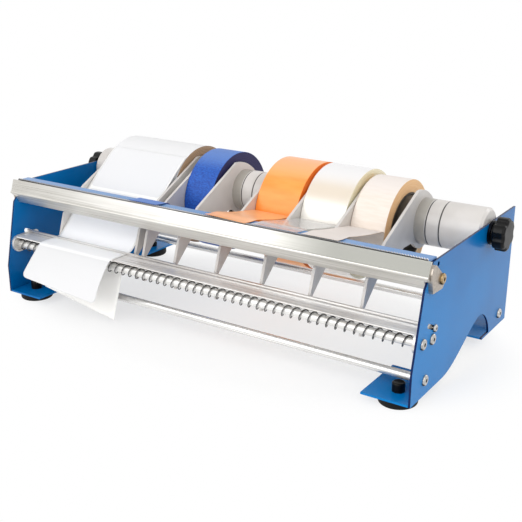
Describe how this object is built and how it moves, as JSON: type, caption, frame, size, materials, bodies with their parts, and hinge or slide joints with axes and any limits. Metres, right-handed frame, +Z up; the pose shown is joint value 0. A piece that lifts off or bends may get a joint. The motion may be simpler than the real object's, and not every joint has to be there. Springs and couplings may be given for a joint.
{
  "type": "multi-roll tape dispenser",
  "caption": "Bench dispenser for rolls of tape and labels, with a lift-out axle with dividers, a cutter bar with a serrated blade and a peel plate.",
  "frame": {"origin": "centre of the bounding box's bottom, on the bench", "axes": "+X along the axle to the right, +Y from the front to the back, +Z up from the bench"},
  "size_m": [0.536, 0.2558, 0.1668],
  "materials": {
    "blue_paint": "satin powder coat",
    "bare_aluminium": "drawn, fine lines along X",
    "blade_steel": "bright steel",
    "nickel": "nickel plated",
    "stainless": "satin, brushed along X",
    "black_rubber": "matte",
    "black_plastic": "fine grained",
    "grey_plastic": "moulded, satin",
    "core_board": "rolled board",
    "label_paper": "smooth white",
    "blue_tape": "creped",
    "orange_tape": "smooth film",
    "clear_tape": "glossy film",
    "tan_tape": "creped"
  },
  "bodies": {
    "stand": {"left_side_plate": "blue_paint", "right_side_plate": "blue_paint", "tape_table": "blue_paint", "cutter_bar": "bare_aluminium", "lower_front_rod": "bare_aluminium", "rear_rod": "bare_aluminium", "guide_rod": "bare_aluminium", "spring_rod": "bare_aluminium", "cutting_blade": "blade_steel", "tension_spring": "blade_steel", "left_bar_lug": "nickel", "right_bar_lug": "nickel", "lug_screws": "nickel", "peel_screws": "nickel", "rod_screws": "nickel", "peel_plate": "stainless", "hold_down_strip": "stainless", "left_peel_cheek": "stainless", "right_peel_cheek": "stainless", "feet": "black_rubber", "foot_nuts": "black_plastic", "label_web": "label_paper", "backing_paper": "label_paper"},
    "axle_assembly": {"axle": "stainless", "left_end_hub": "grey_plastic", "right_end_hub": "grey_plastic", "spacer_rings": "grey_plastic", "lane_hub_1": "grey_plastic", "lane_hub_2": "grey_plastic", "lane_hub_3": "grey_plastic", "lane_hub_4": "grey_plastic", "lane_hub_5": "grey_plastic", "lane_hub_6": "grey_plastic", "divider_1": "grey_plastic", "divider_2": "grey_plastic", "divider_3": "grey_plastic", "divider_4": "grey_plastic", "divider_5": "grey_plastic", "divider_6": "grey_plastic", "divider_7": "grey_plastic", "divider_8": "grey_plastic", "blue_tape_end": "blue_tape", "orange_tape_end": "orange_tape", "clear_tape_end": "clear_tape", "tan_tape_end": "tan_tape"},
    "label_roll_body": {"label_core": "core_board", "label_roll": "label_paper"},
    "blue_roll_body": {"blue_core": "core_board", "blue_roll": "blue_tape"},
    "orange_roll_body": {"orange_core": "core_board", "orange_roll": "orange_tape"},
    "clear_roll_body": {"clear_core": "core_board", "clear_roll": "clear_tape"},
    "tan_roll_body": {"tan_core": "core_board", "tan_roll": "tan_tape"},
    "left_washer_body": {"left_washer": "stainless"},
    "left_knob_body": {"left_knob": "black_plastic"},
    "right_washer_body": {"right_washer": "stainless"},
    "right_knob_body": {"right_knob": "black_plastic"}
  },
  "joints": [
    {"name": "axle_lift", "type": "slide", "parent": "stand", "child": "axle_assembly", "axis": [0, 0, 1], "range_m": [0, 0.03], "deforming": ["label_web"]},
    {"name": "label_roll_turn", "type": "hinge", "parent": "axle_assembly", "child": "label_roll_body", "pos_m": [-0.152, 0.0589, 0.1083], "axis": [1, 0, 0], "continuous": true},
    {"name": "blue_roll_turn", "type": "hinge", "parent": "axle_assembly", "child": "blue_roll_body", "pos_m": [-0.064, 0.0589, 0.1083], "axis": [1, 0, 0], "continuous": true},
    {"name": "orange_roll_turn", "type": "hinge", "parent": "axle_assembly", "child": "orange_roll_body", "pos_m": [0.0388, 0.0589, 0.1083], "axis": [1, 0, 0], "continuous": true},
    {"name": "clear_roll_turn", "type": "hinge", "parent": "axle_assembly", "child": "clear_roll_body", "pos_m": [0.0943, 0.0589, 0.1083], "axis": [1, 0, 0], "continuous": true},
    {"name": "tan_roll_turn", "type": "hinge", "parent": "axle_assembly", "child": "tan_roll_body", "pos_m": [0.1432, 0.0589, 0.1083], "axis": [1, 0, 0], "continuous": true},
    {"name": "left_washer_slide", "type": "slide", "parent": "axle_assembly", "child": "left_washer_body", "axis": [-1, 0, 0], "range_m": [0, 0.00187]},
    {"name": "left_knob_turn", "type": "hinge", "parent": "left_washer_body", "child": "left_knob_body", "pos_m": [-0.262, 0.0589, 0.1225], "axis": [-1, 0, 0], "range_deg": [0, 540]},
    {"name": "right_washer_slide", "type": "slide", "parent": "axle_assembly", "child": "right_washer_body", "axis": [1, 0, 0], "range_m": [0, 0.00187]},
    {"name": "right_knob_turn", "type": "hinge", "parent": "right_washer_body", "child": "right_knob_body", "pos_m": [0.262, 0.0589, 0.1225], "axis": [1, 0, 0], "range_deg": [0, 540]}
  ],
  "couplings": [
    {"joint": "left_knob_turn", "follows": "left_washer_slide", "rad_per_m": 5026.5},
    {"joint": "right_knob_turn", "follows": "right_washer_slide", "rad_per_m": 5026.5}
  ]
}
